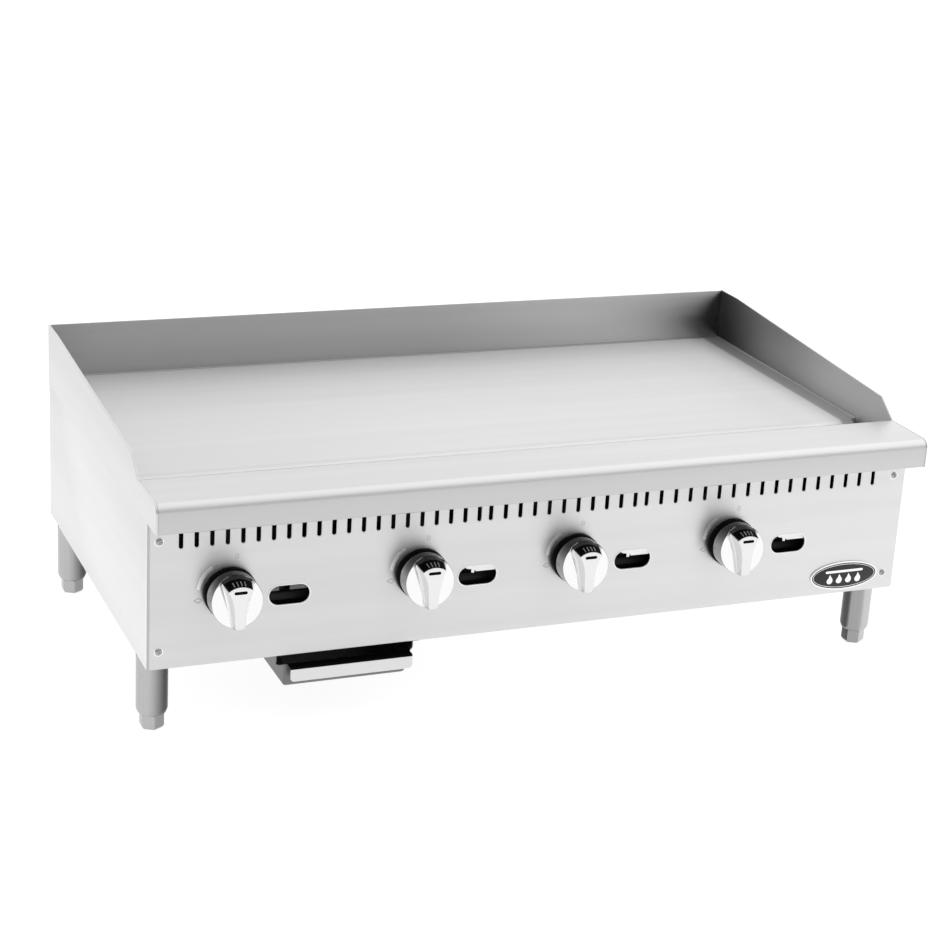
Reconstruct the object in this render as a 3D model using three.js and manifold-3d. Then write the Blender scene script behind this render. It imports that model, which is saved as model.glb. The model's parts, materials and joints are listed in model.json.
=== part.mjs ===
// Four-burner countertop gas griddle: a thick flat plate inside welded splashes, a grease gutter
// behind a front rail, a control panel with valves and knobs, and a sheet-metal body on four legs.
// Millimetres. X runs left to right, Y front to rear, Z up. The origin is on the counter, in the
// middle of the whole griddle's footprint.

import * as THREE from 'three';
import { mergeVertices } from 'three/addons/utils/BufferGeometryUtils.js';
import Module from 'manifold-3d';

const wasm = await Module();
wasm.setup();

// ---------------------------------------------------------------- driving dimensions

const width = 1219;              // 48 in, over the side splashes
const bodyDepth = 640;           // control panel face to the rear of the splash
const railOverhang = 50;         // the rail stands this far in front of the control panel
const knobReach = 56;            // and the knobs this far
const inletReach = 36;           // the gas inlet stands this far behind the splash
const clearance = 115;           // counter to the underside of the body
const plateTop = 350;            // cooking surface above the counter
const plateThickness = 19;       // 3/4 in plate
const railDepth = 103;           // rail's nose to its rear edge
const gutterWidth = 92;          // plate's front edge to the rail
const splashTop = 437;
const railTop = 380;
const railBottom = 336;
const splashSheet = 3;
const sheet = 2;
const gap = 0.3;                 // between pieces that rest on or are welded to each other

const knobCentres = [-491, -205, 41, 304];
const sightCentres = [-403, -115, 138, 408];
const valveHeight = 223;

// ---------------------------------------------------------------- derived places

const half = width / 2;
const panelFace = knobReach - (knobReach + bodyDepth + inletReach) / 2;
const front = panelFace - railOverhang;
const rear = panelFace + bodyDepth;
const inletEnd = rear + inletReach;
const insideSplash = half - splashSheet - gap;
const plateRear = rear - splashSheet - gap;
const plateUnder = plateTop - plateThickness;
const sideRecess = 1;
const sideOuter = half - sideRecess;
const insideSide = sideOuter - sheet - gap;
const railRear = front + railDepth;
const plateFront = railRear + gutterWidth;
const bodyTop = railBottom - gap;
const panTop = clearance + sheet;

// ---------------------------------------------------------------- materials

function steel(color, roughness, metalness = 1) {
  return new THREE.MeshStandardMaterial({ color, roughness, metalness });
}

const brushed = () => steel(0xd6d7d8, 0.34);
const splashSteel = () => steel(0xbfc0c1, 0.3);
const ground = () => steel(0xc2c2c0, 0.42);
const chrome = () => steel(0xe6e7e8, 0.12);
const galvanised = () => steel(0xa9adb0, 0.5);
const brass = () => steel(0xb59a58, 0.4);
const castIron = () => steel(0x3b3b3d, 0.75, 0.6);
const blackEnamel = () => steel(0x141416, 0.4, 0);

// ---------------------------------------------------------------- shape helpers

const X = new THREE.Vector3(1, 0, 0);
const Y = new THREE.Vector3(0, 1, 0);
const Z = new THREE.Vector3(0, 0, 1);

const root = new THREE.Group();
root.name = 'griddle';

function add(name, geometry, material) {
  const mesh = new THREE.Mesh(geometry, material);
  mesh.name = name;
  root.add(mesh);
}

function shapeOf(points) {
  return new THREE.Shape(points.map(([a, b]) => new THREE.Vector2(a, b)));
}

function extruded(shape, depth, curveSegments = 6) {
  return new THREE.ExtrudeGeometry(shape, { depth, bevelEnabled: false, curveSegments });
}

// An outline in (y, z), carried along X.
function alongX(shape, x0, x1, segments) {
  const geometry = extruded(shape, x1 - x0, segments);
  geometry.applyMatrix4(new THREE.Matrix4().makeBasis(Y, Z, X));
  return geometry.translate(x0, 0, 0);
}

// An outline in (x, z), carried along Y.
function alongY(shape, y0, y1, segments) {
  const geometry = extruded(shape, y1 - y0, segments);
  geometry.applyMatrix4(new THREE.Matrix4().makeBasis(X, Z, Y.clone().negate()));
  return geometry.translate(0, y1, 0);
}

// An outline in (x, y), carried along Z.
function alongZ(shape, z0, z1, segments) {
  return extruded(shape, z1 - z0, segments).translate(0, 0, z0);
}

function block(x0, x1, y0, y1, z0, z1) {
  const geometry = new THREE.BoxGeometry(x1 - x0, y1 - y0, z1 - z0);
  return geometry.translate((x0 + x1) / 2, (y0 + y1) / 2, (z0 + z1) / 2);
}

function rodX(radius, x0, x1, y, z, sides = 16) {
  const geometry = new THREE.CylinderGeometry(radius, radius, x1 - x0, sides);
  return geometry.rotateZ(-Math.PI / 2).translate((x0 + x1) / 2, y, z);
}

function rodY(radius, x, y0, y1, z, sides = 16) {
  const geometry = new THREE.CylinderGeometry(radius, radius, y1 - y0, sides);
  return geometry.translate(x, (y0 + y1) / 2, z);
}

function rodZ(radius, x, y, z0, z1, sides = 16) {
  const geometry = new THREE.CylinderGeometry(radius, radius, z1 - z0, sides);
  return geometry.rotateX(Math.PI / 2).translate(x, y, (z0 + z1) / 2);
}

// A ring around Y, open from end to end.
function ringY(outer, inner, x, y0, y1, z, sides = 24) {
  const profile = [[inner, 0], [outer, 0], [outer, y1 - y0], [inner, y1 - y0], [inner, 0]];
  const points = profile.map(([r, h]) => new THREE.Vector2(r, h));
  return new THREE.LatheGeometry(points, sides).translate(x, y0, z);
}

// A turned piece standing on Z: pairs of radius and height that start and end on the axis.
function turnedZ(profile, x, y, sides = 24) {
  const points = profile.map(([r, h]) => new THREE.Vector2(r, h));
  return new THREE.LatheGeometry(points, sides).rotateX(Math.PI / 2).translate(x, y, 0);
}

function solid(geometry) {
  const bare = geometry.clone();
  bare.deleteAttribute('normal');
  bare.deleteAttribute('uv');
  const merged = mergeVertices(bare, 1e-3);
  const mesh = new wasm.Mesh({
    numProp: 3,
    vertProperties: new Float32Array(merged.attributes.position.array),
    triVerts: new Uint32Array(merged.index.array),
  });
  return new wasm.Manifold(mesh);
}

function geometryOf(manifold) {
  const mesh = manifold.getMesh();
  const geometry = new THREE.BufferGeometry();
  geometry.setAttribute('position', new THREE.BufferAttribute(mesh.vertProperties, 3));
  geometry.setIndex(new THREE.BufferAttribute(mesh.triVerts, 1));
  return geometry;
}

function joined(first, ...others) {
  return geometryOf(others.reduce((whole, part) => whole.add(solid(part)), solid(first)));
}

function cut(first, ...tools) {
  return geometryOf(tools.reduce((whole, tool) => whole.subtract(solid(tool)), solid(first)));
}

// The outline of a bent sheet: a line of bends, and the same line again one thickness to its left.
function bentSheet(line, thickness) {
  const offset = line.map((point, i) => {
    const before = line[Math.max(i - 1, 0)];
    const after = line[Math.min(i + 1, line.length - 1)];
    const normals = [[before, point], [point, after]]
      .filter(([a, b]) => a !== b)
      .map(([a, b]) => {
        const length = Math.hypot(b[0] - a[0], b[1] - a[1]);
        return [-(b[1] - a[1]) / length, (b[0] - a[0]) / length];
      });
    const sum = [0, 1].map((k) => normals.reduce((total, n) => total + n[k], 0));
    const scale = (normals.length * thickness) / Math.max(sum[0] ** 2 + sum[1] ** 2, 1e-9);
    return [point[0] + sum[0] * scale, point[1] + sum[1] * scale];
  });
  return shapeOf([...line, ...offset.reverse()]);
}

// Points on an arc, in degrees, from start to end.
function arc(cx, cy, radius, start, end, steps) {
  return Array.from({ length: steps + 1 }, (_, i) => {
    const angle = THREE.MathUtils.degToRad(start + ((end - start) * i) / steps);
    return [cx + radius * Math.cos(angle), cy + radius * Math.sin(angle)];
  });
}

function circleHole(x, y, radius, steps = 16) {
  const points = arc(x, y, radius, 0, 360, steps).slice(0, -1);
  return shapeOf(points);
}

// A slot with round ends, standing along the outline's second axis.
function uprightSlot(x, low, high, slotWidth) {
  const r = slotWidth / 2;
  const path = new THREE.Path();
  path.absarc(x, high - r, r, 0, Math.PI, false);
  path.absarc(x, low + r, r, Math.PI, Math.PI * 2, false);
  return path;
}

// The same slot lying along the first axis.
function lyingSlot(centre, y, length, slotHeight) {
  const r = slotHeight / 2;
  const reach = length / 2 - r;
  const path = new THREE.Path();
  path.absarc(centre + reach, y, r, -Math.PI / 2, Math.PI / 2, false);
  path.absarc(centre - reach, y, r, Math.PI / 2, (Math.PI * 3) / 2, false);
  return path;
}

function rectangle({ x0, x1, y0, y1 }) {
  return [[x0, y0], [x1, y0], [x1, y1], [x0, y1]];
}

// A rectangle moved inwards on all four sides, or outwards by a negative distance.
function inset({ x0, x1, y0, y1 }, distance) {
  return { x0: x0 + distance, x1: x1 - distance, y0: y0 + distance, y1: y1 - distance };
}

const leftAndRight = [{ side: 'left', sign: -1 }, { side: 'right', sign: 1 }];

// A span measured outwards from the middle, turned to the named side.
function outward(sign, inner, outer) {
  return sign < 0 ? [-outer, -inner] : [inner, outer];
}

// ---------------------------------------------------------------- griddle plate and splashes

function griddlePlate() {
  const bevel = 2;
  const outline = shapeOf([
    [plateFront, plateUnder],
    [plateRear, plateUnder],
    [plateRear, plateTop],
    [plateFront + bevel, plateTop],
    [plateFront, plateTop - bevel],
  ]);
  add('griddle_plate', alongX(outline, -insideSplash, insideSplash), ground());
}

const railNose = 14;             // bend radius of the rail's front top edge
const noseTop = arc(front + railNose, railTop - railNose, railNose, 90, 180, 6);

function splashes() {
  const flatTop = 60;            // level stretch at the rear of each side splash
  const kneeHeight = 408;        // the side's top edge slopes from here, then steeply to the rail
  const knee = railRear + 37;
  const outline = shapeOf([
    [rear, railBottom],
    [rear, splashTop],
    [rear - flatTop, splashTop],
    [knee, kneeHeight],
    [railRear, railTop],
    ...noseTop,
    [front, railBottom],
  ]);
  for (const { side, sign } of leftAndRight) {
    const [x0, x1] = outward(sign, half - splashSheet, half);
    add(`${side}_splash`, alongX(outline, x0, x1), splashSteel());
  }
  const backSheet = block(
    -insideSplash, insideSplash, rear - splashSheet, rear, railBottom, splashTop);
  add('rear_splash', backSheet, splashSteel());
}

// ---------------------------------------------------------------- rail, gutter and chute

const gutterFloor = 302;
const chute = { x0: -350, x1: -266, y0: -247, y1: -175 };

function frontRail() {
  const hiddenLip = 40;          // the rail's rear edge turns down into the gutter
  const line = [
    [railRear, railTop - hiddenLip],
    [railRear, railTop],
    ...noseTop,
    [front, railBottom],
    [panelFace + sheet, railBottom],
  ];
  add('front_rail', alongX(bentSheet(line, sheet), -insideSplash, insideSplash), brushed());
}

function greaseGutter() {
  const underPlate = 7;          // the rear wall stands behind the plate's front edge
  const wallDrop = 6;            // the front wall stops short of the rail's top
  const frontWall = railRear + gap;
  const rearWall = plateFront + underPlate;
  const line = [
    [frontWall, railTop - wallDrop],
    [frontWall, gutterFloor],
    [rearWall, gutterFloor],
    [rearWall, plateUnder - gap],
  ];
  const channel = alongX(bentSheet(line, sheet), -insideSide, insideSide);
  const { x0, x1, y0, y1 } = inset(chute, sheet);
  const drain = block(x0, x1, y0, y1, gutterFloor - sheet, gutterFloor + 2 * sheet);
  add('grease_gutter', cut(channel, drain), brushed());
}

const drawerTop = 100;

function greaseChute() {
  const aboveDrawer = 8;
  const tube = shapeOf(rectangle(chute));
  tube.holes.push(shapeOf(rectangle(inset(chute, sheet))));
  add('grease_chute', alongZ(tube, drawerTop + aboveDrawer, gutterFloor - gap), galvanised());
}

// ---------------------------------------------------------------- body panels

function sidePanels() {
  for (const { side, sign } of leftAndRight) {
    const [x0, x1] = outward(sign, sideOuter - sheet, sideOuter);
    const panel = block(x0, x1, panelFace + sheet + gap, rear - gap, clearance, bodyTop);
    add(`${side}_side_panel`, panel, brushed());
  }
}

function rearPanel() {
  const outline = { x0: -insideSide, x1: insideSide, y0: clearance, y1: bodyTop };
  const panel = shapeOf(rectangle(outline));
  const vents = { count: 14, pitch: 76, low: 262, high: 306, width: 12 };
  for (let i = 0; i < vents.count; i += 1) {
    const x = (i - (vents.count - 1) / 2) * vents.pitch;
    panel.holes.push(uprightSlot(x, vents.low, vents.high, vents.width));
  }
  panel.holes.push(circleHole(gasLine.x, gasLine.z, gasLine.hole));
  add('rear_panel', alongY(panel, rear - gap - sheet, rear - gap, 2), galvanised());
}

const screwPlaces = [
  { x: -592, z: 307 }, { x: -592, z: 142 }, { x: 588, z: 307 }, { x: 588, z: 142 },
];
const screwHole = 2.6;
const stemHole = 7;
const sightSlot = { length: 60, height: 29, z: 209 };

// Vent slots under the rail, in the three bands that the panel is punched in.
const ventBands = [
  { first: -561, count: 21, pitch: 22.2 },
  { first: -99, count: 11, pitch: 23.4 },
  { first: 154, count: 17, pitch: 24.75 },
];

const frontVent = { low: 294, high: 322, width: 6 };
const flangeDepth = 18;          // the panel's bottom edge turns in this far

function controlPanel() {
  const face = shapeOf(rectangle({ x0: -sideOuter, x1: sideOuter, y0: clearance, y1: bodyTop }));
  for (const { first, count, pitch } of ventBands) {
    for (let i = 0; i < count; i += 1) {
      const x = first + i * pitch;
      face.holes.push(uprightSlot(x, frontVent.low, frontVent.high, frontVent.width));
    }
  }
  for (const x of knobCentres) {
    face.holes.push(circleHole(x, valveHeight, stemHole));
  }
  for (const x of sightCentres) {
    face.holes.push(lyingSlot(x, sightSlot.z, sightSlot.length, sightSlot.height));
  }
  for (const { x, z } of screwPlaces) {
    face.holes.push(circleHole(x, z, screwHole, 8));
  }
  const faceSheet = alongY(face, panelFace, panelFace + sheet, 2);
  const flange = block(-insideSide, insideSide, panelFace + sheet / 2, panelFace + flangeDepth,
    clearance, panTop);
  add('control_panel', joined(faceSheet, flange), brushed());
}

function bottomPan() {
  const outline = {
    x0: -insideSide, x1: insideSide, y0: panelFace + flangeDepth + gap, y1: rear - splashSheet,
  };
  const chuteClearance = 2;
  const airSlot = { rows: [-40, 90, 220], length: 180, width: 16 };
  const pan = shapeOf(rectangle(outline));
  pan.holes.push(shapeOf(rectangle(inset(chute, -chuteClearance))));
  for (const centre of burnerCentres) {
    for (const y of airSlot.rows) {
      pan.holes.push(lyingSlot(centre, y, airSlot.length, airSlot.width));
    }
  }
  add('bottom_pan', alongZ(pan, clearance, panTop, 2), galvanised());
}

// ---------------------------------------------------------------- burners and gas line

const gasLine = { x: 570, y: -268, z: 190, radius: 13, hole: 15, leftEnd: -540 };
const burnerCentres = [-450, -150, 150, 450];
const burnerSpread = 75;         // half the distance between a burner's two tubes
const burnerRadius = 19;
const burnerHeight = 235;
const burnerFront = -125;
const burnerEnd = 268;
const mixer = { mouth: -231, radius: 16, wall: 2, boreDepth: 40 };
const shieldFace = -152;

function heatShield() {
  const topGap = 1;
  const mixerHole = mixer.radius + 3;
  const pilotHole = 6;
  const outline = {
    x0: -insideSide, x1: insideSide, y0: panTop + gap, y1: plateUnder - topGap,
  };
  const shield = shapeOf(rectangle(outline));
  for (const x of knobCentres) {
    shield.holes.push(circleHole(x, valveHeight, mixerHole));
  }
  for (const x of sightCentres) {
    shield.holes.push(circleHole(x, pilotHeight, pilotHole));
  }
  shield.holes.push(circleHole(gasLine.x, gasLine.z, gasLine.hole));
  add('front_heat_shield', alongY(shield, shieldFace, shieldFace + sheet, 4), galvanised());
}

// Each burner is a U of two tubes, fed by a mixer tube that lies behind its valve.
function burner(centre, inlet) {
  const { mouth, radius, wall, boreDepth } = mixer;
  const tubes = [centre - burnerSpread, centre + burnerSpread];
  const left = Math.min(inlet, tubes[0]) - burnerRadius;
  const right = tubes[1] + burnerRadius;
  const body = joined(
    rodX(burnerRadius, left, right, burnerFront, burnerHeight),
    ...tubes.map((x) => rodY(burnerRadius, x, burnerFront, burnerEnd, burnerHeight)),
    rodY(radius, inlet, mouth, burnerFront, valveHeight));
  return cut(body, rodY(radius - wall, inlet, mouth - 1, mouth + boreDepth, valveHeight));
}

// A sleeve that turns on the mixer tube, with an air window through both of its sides.
function airShutter(x) {
  const play = 1;
  const wall = 2;
  const length = 26;
  const windowWidth = 12;
  const inner = mixer.radius + play;
  const y0 = mixer.mouth + 2;
  const y1 = y0 + length;
  const middle = (y0 + y1) / 2 - 1;
  const reach = 2 * inner;
  const window = block(x - reach, x + reach, middle - windowWidth / 2, middle + windowWidth / 2,
    valveHeight - windowWidth / 2, valveHeight + windowWidth / 2);
  return cut(ringY(inner + wall, inner, x, y0, y1, valveHeight), window);
}

function burnerRest() {
  const shelf = 18;
  const setBack = 16;            // the burners' rear ends stand this far behind the rest
  const shortOfPipe = 60;
  const top = burnerHeight - burnerRadius - gap;
  const y = burnerEnd - setBack;
  const line = [[y, panTop + gap], [y, top], [y - shelf, top]];
  return alongX(bentSheet(line, sheet), -insideSide, insideSide - shortOfPipe);
}

function burners() {
  burnerCentres.forEach((centre, i) => {
    add(`burner_${i + 1}`, burner(centre, knobCentres[i]), castIron());
    add(`air_shutter_${i + 1}`, airShutter(knobCentres[i]), galvanised());
  });
  add('burner_rest', burnerRest(), galvanised());
}

// The gas line runs behind the control panel, turns in an elbow fitting at the right-hand side and
// leaves at the rear.
function gasManifold() {
  const { x, y, z, radius, leftEnd } = gasLine;
  const elbow = radius + 4;
  const sleeve = 22;
  const pipe = joined(
    rodX(radius, leftEnd, x, y, z),
    rodY(radius, x, y, inletEnd, z),
    new THREE.SphereGeometry(elbow, 16, 10).translate(x, y, z),
    rodX(elbow, x - sleeve, x, y, z),
    rodY(elbow, x, y, y + sleeve, z));
  add('gas_manifold', pipe, galvanised());
}

// A valve stands on the pipe; its bushing faces the knob and its jet faces the mixer tube.
const pipeTop = gasLine.z + gasLine.radius + gap;
const bushingFront = panelFace + 5;
const stemRadius = 4;
const stemFront = panelFace - 40;

function valve(x) {
  const body = { halfWidth: 14, halfHeight: 13, front: gasLine.y - 26, rear: gasLine.y + 16 };
  const tail = 9;
  const jet = { radius: 7, end: mixer.mouth - 4 };
  return joined(
    block(x - body.halfWidth, x + body.halfWidth, body.front, body.rear,
      valveHeight - body.halfHeight, valveHeight + body.halfHeight),
    rodZ(tail, x, gasLine.y, pipeTop, valveHeight, 12),
    rodY(tail, x, bushingFront, body.front + 1, valveHeight, 12),
    rodY(jet.radius, x, body.rear - 1, jet.end, valveHeight, 12));
}

function valves() {
  knobCentres.forEach((x, i) => {
    const stem = rodY(stemRadius, x, stemFront, bushingFront - gap, valveHeight, 12);
    add(`gas_valve_${i + 1}`, valve(x), brass());
    add(`valve_stem_${i + 1}`, stem, brass());
  });
}

const pilotHeight = 262;

// A pilot valve on the pipe, its tube up and back through the heat shield, and the pilot head.
function pilot(x) {
  const tube = 3.2;
  const nut = { radius: 8, height: 16 };
  const head = { radius: 6, front: burnerFront - 6, rear: burnerFront + 8 };
  return joined(
    rodZ(nut.radius, x, gasLine.y, pipeTop, pipeTop + nut.height, 6),
    rodZ(tube, x, gasLine.y, pipeTop + nut.height / 2, pilotHeight, 8),
    new THREE.SphereGeometry(tube * 1.25, 8, 6).translate(x, gasLine.y, pilotHeight),
    rodY(tube, x, gasLine.y, burnerFront, pilotHeight, 8),
    rodY(head.radius, x, head.front, head.rear, pilotHeight, 10));
}

function pilots() {
  sightCentres.forEach((x, i) => add(`pilot_${i + 1}`, pilot(x), brass()));
}

function plateSupports() {
  const leg = 32;
  const top = plateUnder - gap;
  const y0 = shieldFace + 6;
  const y1 = rear - 10;
  for (const { side, sign } of leftAndRight) {
    const wall = sign * insideSide;
    const inner = sign * (insideSide - leg);
    const line = [[inner, top], [wall, top], [wall, top - leg]];
    const angle = bentSheet(line, sign * -sheet);
    add(`plate_support_${side}`, alongY(angle, y0, y1), galvanised());
  }
}

// ---------------------------------------------------------------- knobs, badge and screws

const knobRadius = 38;
const knobBase = panelFace - 1.5;
const knobFront = panelFace - knobReach;
const gripRise = 16.5;           // the grip bar stands this far in front of the facets

// A disc whose front is cut away at the top, with a grip bar that is wider at its top end.
function knob(x) {
  const z = valveHeight;
  const facets = knobFront + gripRise;
  const discFront = facets + 10;
  const bite = { radius: 40, low: 31 };
  const foot = { halfWidth: 7, z: 2 - knobRadius };
  const waist = { halfWidth: 8.5, z: -5 };
  const shoulder = { halfWidth: 18, z: 23 };
  const crown = 28;

  const disc = rodY(knobRadius, x, discFront, knobBase, z, 40);
  const layer = rodY(knobRadius - 1, x, facets, discFront + 1, z, 40);
  const biteTool = rodY(bite.radius, x, facets - 1, discFront, z + bite.low + bite.radius, 32);
  const bar = shapeOf([
    [x - foot.halfWidth, z + foot.z],
    [x + foot.halfWidth, z + foot.z],
    [x + waist.halfWidth, z + waist.z],
    [x + shoulder.halfWidth, z + shoulder.z],
    [x, z + crown],
    [x - shoulder.halfWidth, z + shoulder.z],
    [x - waist.halfWidth, z + waist.z],
  ]);
  const stemBore = rodY(stemRadius + 0.2, x, stemFront - 0.5, knobBase + 1, z, 12);
  return cut(joined(disc, cut(layer, biteTool), alongY(bar, knobFront, discFront + 1)), stemBore);
}

function knobs() {
  knobCentres.forEach((x, i) => add(`knob_${i + 1}`, knob(x), chrome()));
}

const badge = { x: 516, z: 145, width: 118, height: 44, thickness: 2 };

function trim() {
  const oval = new THREE.Shape();
  oval.absellipse(badge.x, badge.z, badge.width / 2, badge.height / 2, 0, Math.PI * 2, false);
  const back = panelFace - gap;
  add('badge_plate', alongY(oval, back - badge.thickness, back, 16), blackEnamel());

  const head = { radius: 4.6, height: 2.6 };
  const shank = { radius: 2.2, end: panelFace + 10 };
  screwPlaces.forEach(({ x, z }, i) => {
    const screw = joined(
      rodY(head.radius, x, back - head.height, back, z, 16),
      rodY(shank.radius, x, back - 1, shank.end, z, 8));
    add(`panel_screw_${i + 1}`, screw, chrome());
  });
}

// ---------------------------------------------------------------- grease drawer and runners

const drawer = { x0: -408, x1: -222, y0: panelFace + 2, length: 280, floor: 66 };
const drawerSheet = 1.5;

function greaseDrawer() {
  const { x0, x1, y0, length, floor } = drawer;
  const y1 = y0 + length;
  const wall = drawerSheet;
  const flange = 9;
  const flangeLow = drawerTop - wall;
  const lip = { x0: x0 + 6, x1: x1 + 6, front: y0 - 15, low: 78 };
  const tray = joined(
    block(x0, x1, y0, y1, floor, drawerTop),
    block(x0 - flange, x1 + flange, y0, y1, flangeLow, drawerTop),
    block(lip.x0, lip.x1, lip.front, y0 + 1, flangeLow, drawerTop),
    block(lip.x0, lip.x1, lip.front, lip.front + wall, lip.low, drawerTop));
  const hollow = inset({ x0, x1, y0, y1 }, wall);
  const inside = block(hollow.x0, hollow.x1, hollow.y0, hollow.y1, floor + wall, drawerTop + 1);
  add('grease_drawer', cut(tray, inside), brushed());
}

function drawerRunners() {
  const { x0, x1, y0, length } = drawer;
  const web = 12;                // drawer wall to the runner's web
  const lip = 9;
  const thickness = 1.5;
  const top = clearance - gap - thickness;
  const low = drawerTop - drawerSheet - gap - thickness;
  const runners = [
    { side: 'left', wall: x0 - web, towards: 1 },
    { side: 'right', wall: x1 + web, towards: -1 },
  ];
  for (const { side, wall, towards } of runners) {
    const line = [
      [wall + towards * lip, low],
      [wall, low],
      [wall, top],
      [wall - towards * lip, top],
    ];
    const profile = bentSheet(line, -towards * thickness);
    add(`drawer_runner_${side}`, alongY(profile, y0 + 1, y0 + length), galvanised());
  }
}

// ---------------------------------------------------------------- legs and feet

const legRadius = 23;
const legInset = { x: 23.5, front: 58, rear: 59 };
const footTop = 24;
const footRadius = 18.5;
const boreTop = 92;
const threadRadius = 8;

// A tube that tapers to the foot, bored for the foot's threaded stem.
function leg(x, y) {
  const bore = threadRadius + 0.3;
  return turnedZ([
    [0, boreTop],
    [bore, boreTop],
    [bore, footTop + gap],
    [footRadius, footTop + gap],
    [footRadius + 2, footTop + 3],
    [legRadius, footTop + 10],
    [legRadius, clearance - gap],
    [0, clearance - gap],
  ], x, y);
}

// A hexagon with a tapered nose, under a threaded stem.
function foot(x, y) {
  const nose = 5;
  const noseRadius = footRadius - 4;
  const stemTop = boreTop - 4;
  const nutHeight = footTop - nose;
  const hexagon = (topRadius, lowRadius, height, z) => (
    new THREE.CylinderGeometry(topRadius, lowRadius, height, 6)
      .rotateX(Math.PI / 2).translate(x, y, z + height / 2));
  return joined(
    hexagon(footRadius, footRadius, nutHeight, nose),
    hexagon(footRadius, noseRadius, nose, 0),
    rodZ(threadRadius, x, y, footTop - 1, stemTop, 12));
}

function legsAndFeet() {
  const xOut = half - legInset.x;
  const places = [panelFace + legInset.front, rear - legInset.rear]
    .flatMap((y) => [[-xOut, y], [xOut, y]]);
  places.forEach(([x, y], i) => {
    add(`leg_${i + 1}`, leg(x, y), ground());
    add(`foot_${i + 1}`, foot(x, y), ground());
  });
}

griddlePlate();
splashes();
frontRail();
greaseGutter();
greaseChute();
sidePanels();
rearPanel();
controlPanel();
bottomPan();
heatShield();
burners();
gasManifold();
valves();
pilots();
plateSupports();
knobs();
trim();
greaseDrawer();
drawerRunners();
legsAndFeet();

export default root;
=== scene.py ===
"""Looks of the flat top griddle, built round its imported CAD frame. Metres, +Z up, front towards -Y."""

import json
import math

import bmesh
import bpy
from mathutils import Matrix, Vector


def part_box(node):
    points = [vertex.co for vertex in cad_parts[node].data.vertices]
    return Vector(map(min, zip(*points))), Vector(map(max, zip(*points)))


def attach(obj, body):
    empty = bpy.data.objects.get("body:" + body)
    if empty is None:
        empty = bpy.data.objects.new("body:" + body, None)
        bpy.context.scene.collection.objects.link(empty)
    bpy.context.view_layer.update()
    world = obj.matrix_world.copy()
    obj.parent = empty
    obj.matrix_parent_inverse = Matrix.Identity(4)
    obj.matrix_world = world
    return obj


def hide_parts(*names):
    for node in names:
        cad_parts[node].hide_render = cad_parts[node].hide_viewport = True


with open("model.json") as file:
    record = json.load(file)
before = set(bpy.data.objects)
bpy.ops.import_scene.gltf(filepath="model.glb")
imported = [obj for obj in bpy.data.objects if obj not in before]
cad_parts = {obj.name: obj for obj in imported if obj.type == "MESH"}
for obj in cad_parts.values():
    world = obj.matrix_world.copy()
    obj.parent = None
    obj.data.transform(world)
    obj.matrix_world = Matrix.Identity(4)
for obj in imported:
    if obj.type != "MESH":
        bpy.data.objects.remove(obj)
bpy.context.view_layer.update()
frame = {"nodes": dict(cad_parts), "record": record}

MM = 0.001
BODY = "griddle_body"


# ---------- places, all from the frame

panel_low, panel_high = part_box("control_panel")
rail_low, rail_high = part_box("front_rail")
plate_low, plate_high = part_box("griddle_plate")
splash_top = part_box("left_splash")[1].z
panel_face = panel_low.y


def middle(node):
    low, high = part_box(node)
    return (low + high) / 2


knob_centres = [middle(f"knob_{n}") for n in range(1, 5)]
sight_centres = [middle(f"pilot_{n}").x for n in range(1, 5)]


# ---------- materials

def node(tree, kind, inputs=None, **settings):
    made = tree.nodes.new(kind)
    for key, value in settings.items():
        setattr(made, key, value)
    for key, value in (inputs or {}).items():
        if isinstance(value, bpy.types.NodeSocket):
            tree.links.new(value, made.inputs[key])
        else:
            made.inputs[key].default_value = value
    return made


def grey(value):
    return (value, value, value, 1)


def start_material(name, **sockets):
    material = bpy.data.materials.new(name)
    material.use_nodes = True
    tree = material.node_tree
    shader = tree.nodes["Principled BSDF"]
    for key, value in sockets.items():
        shader.inputs[key.replace("_", " ")].default_value = value
    return material, tree, shader


def stretched_noise(tree, scale, detail):
    """Noise in the object's own coordinates, with its own scale along each axis, in lumps a metre."""
    place = node(tree, "ShaderNodeTexCoord")
    mapping = node(tree, "ShaderNodeMapping", {"Vector": place.outputs["Object"], "Scale": scale})
    return node(tree, "ShaderNodeTexNoise",
                {"Vector": mapping.outputs["Vector"], "Scale": 1.0, "Detail": detail}).outputs["Fac"]


def ranged(tree, value, low, high):
    """The value's usual span, 0.3 to 0.7, carried to low..high."""
    return node(tree, "ShaderNodeMapRange",
                {"Value": value, "From Min": 0.3, "From Max": 0.7, "To Min": low, "To Max": high}
                ).outputs["Result"]


def mixed(tree, value, first, second):
    """A colour between two others, by value."""
    mix = node(tree, "ShaderNodeMix", {"Factor": value}, data_type="RGBA")
    mix.inputs["A"].default_value = first
    mix.inputs["B"].default_value = second
    return mix.outputs["Result"]


def shaded(tree, value, dark, light):
    """A grey between dark and light, by value."""
    return mixed(tree, value, grey(dark), grey(light))


# The grain's directions, tilted a little so that no flat face lies exactly across its grain.
GRAIN = {"X": Vector((1, 0.02, 0.02)), "Y": Vector((0.02, 1, 0.02))}


def eased(tree, value, start, end, at_start, at_end):
    """A number that changes smoothly from at_start to at_end while the value goes from start to end."""
    return node(tree, "ShaderNodeMapRange",
                {"Value": value, "From Min": start, "From Max": end, "To Min": at_start, "To Max": at_end},
                interpolation_type="SMOOTHSTEP").outputs["Result"]


def faded(tree, colour, axis, start, end, at_start, at_end):
    """The colour, scaled by a factor that changes smoothly between two places along an axis."""
    place = node(tree, "ShaderNodeTexCoord").outputs["Object"]
    along = node(tree, "ShaderNodeSeparateXYZ", {"Vector": place}).outputs[axis]
    factor = eased(tree, along, start, end, at_start, at_end)
    return node(tree, "ShaderNodeVectorMath", {0: colour, "Scale": factor}, operation="SCALE").outputs[0]


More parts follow.
